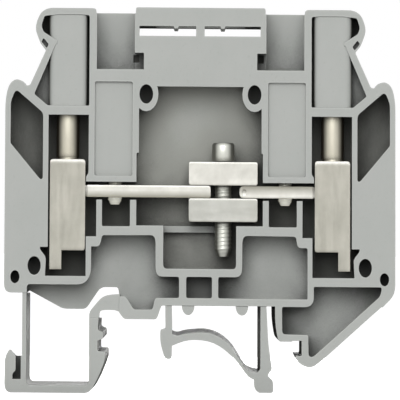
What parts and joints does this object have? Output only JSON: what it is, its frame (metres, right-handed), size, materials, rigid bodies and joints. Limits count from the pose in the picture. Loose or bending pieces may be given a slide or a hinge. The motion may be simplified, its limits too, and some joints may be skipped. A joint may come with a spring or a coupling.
{
  "type": "din rail terminal block",
  "caption": "Slide-link disconnect terminal block: open-sided moulding whose foot clips over a 35 mm rail, screw clamps at both ends, current bars and a sliding link under a screw.",
  "frame": {"origin": "on the seat beside the fixed hook, where the rail's flange rests, half way through the block's thickness; the rail's centre line is 15 mm to the -X side of it", "axes": "+X along the block from the latch end to the hook end, +Y from the open side to the closed side, +Z away from the rail"},
  "size_m": [0.0684, 0.0091, 0.0476],
  "materials": {
    "moulding": "light grey moulded polyamide, satin",
    "clamp_steel": "dull zinc plated steel strip",
    "screw_steel": "zinc plated steel, warm passivation",
    "tinned_copper": "tinned copper alloy, satin"
  },
  "bodies": {
    "block": {"housing": "moulding", "bus_bar_left": "tinned_copper", "bus_bar_right": "tinned_copper"},
    "latch": {"rail_latch": "moulding"},
    "cage_left": {"clamp_cage_left": "clamp_steel"},
    "cage_right": {"clamp_cage_right": "clamp_steel"},
    "screw_left": {"clamp_screw_left": "screw_steel"},
    "screw_right": {"clamp_screw_right": "screw_steel"},
    "bridge_left": {"bridge_screw_left": "screw_steel"},
    "bridge_right": {"bridge_screw_right": "screw_steel"},
    "link_lower": {"link_plate_lower": "tinned_copper"},
    "link_upper": {"link_plate_upper": "tinned_copper"},
    "link_bolt": {"link_screw": "screw_steel"}
  },
  "joints": [
    {"name": "latch_release", "type": "slide", "parent": "block", "child": "latch", "axis": [-1, 0, 0], "range_m": [0, 0.0015]},
    {"name": "clamp_turn_left", "type": "hinge", "parent": "block", "child": "screw_left", "pos_m": [-0.0382, -0.0005, 0.03], "axis": [0, 0, -1], "range_deg": [0, 2700]},
    {"name": "clamp_rise_left", "type": "slide", "parent": "block", "child": "cage_left", "axis": [0, 0, 1], "range_m": [0, 0.00525]},
    {"name": "clamp_turn_right", "type": "hinge", "parent": "block", "child": "screw_right", "pos_m": [0.0082, -0.0005, 0.03], "axis": [0, 0, -1], "range_deg": [0, 2700]},
    {"name": "clamp_rise_right", "type": "slide", "parent": "block", "child": "cage_right", "axis": [0, 0, 1], "range_m": [0, 0.00525]},
    {"name": "bridge_turn_left", "type": "hinge", "parent": "block", "child": "bridge_left", "pos_m": [-0.0299, -0.0005, 0.02], "axis": [0, 0, 1], "range_deg": [0, 720]},
    {"name": "bridge_turn_right", "type": "hinge", "parent": "block", "child": "bridge_right", "pos_m": [-0.0001, -0.0005, 0.02], "axis": [0, 0, 1], "range_deg": [0, 720]},
    {"name": "link_slide", "type": "slide", "parent": "block", "child": "link_lower", "axis": [-1, 0, 0], "range_m": [0, 0.0085]},
    {"name": "link_open", "type": "slide", "parent": "link_lower", "child": "link_upper", "axis": [0, 0, 1], "range_m": [0, 0.001]},
    {"name": "link_turn", "type": "hinge", "parent": "link_upper", "child": "link_bolt", "pos_m": [-0.01095, -0.0005, 0.02], "axis": [0, 0, 1], "range_deg": [0, 720]}
  ],
  "couplings": [
    {"joint": "clamp_turn_left", "follows": "clamp_rise_left", "rad_per_m": 8976},
    {"joint": "clamp_turn_right", "follows": "clamp_rise_right", "rad_per_m": 8976},
    {"joint": "link_turn", "follows": "link_open", "rad_per_m": 12566}
  ]
}
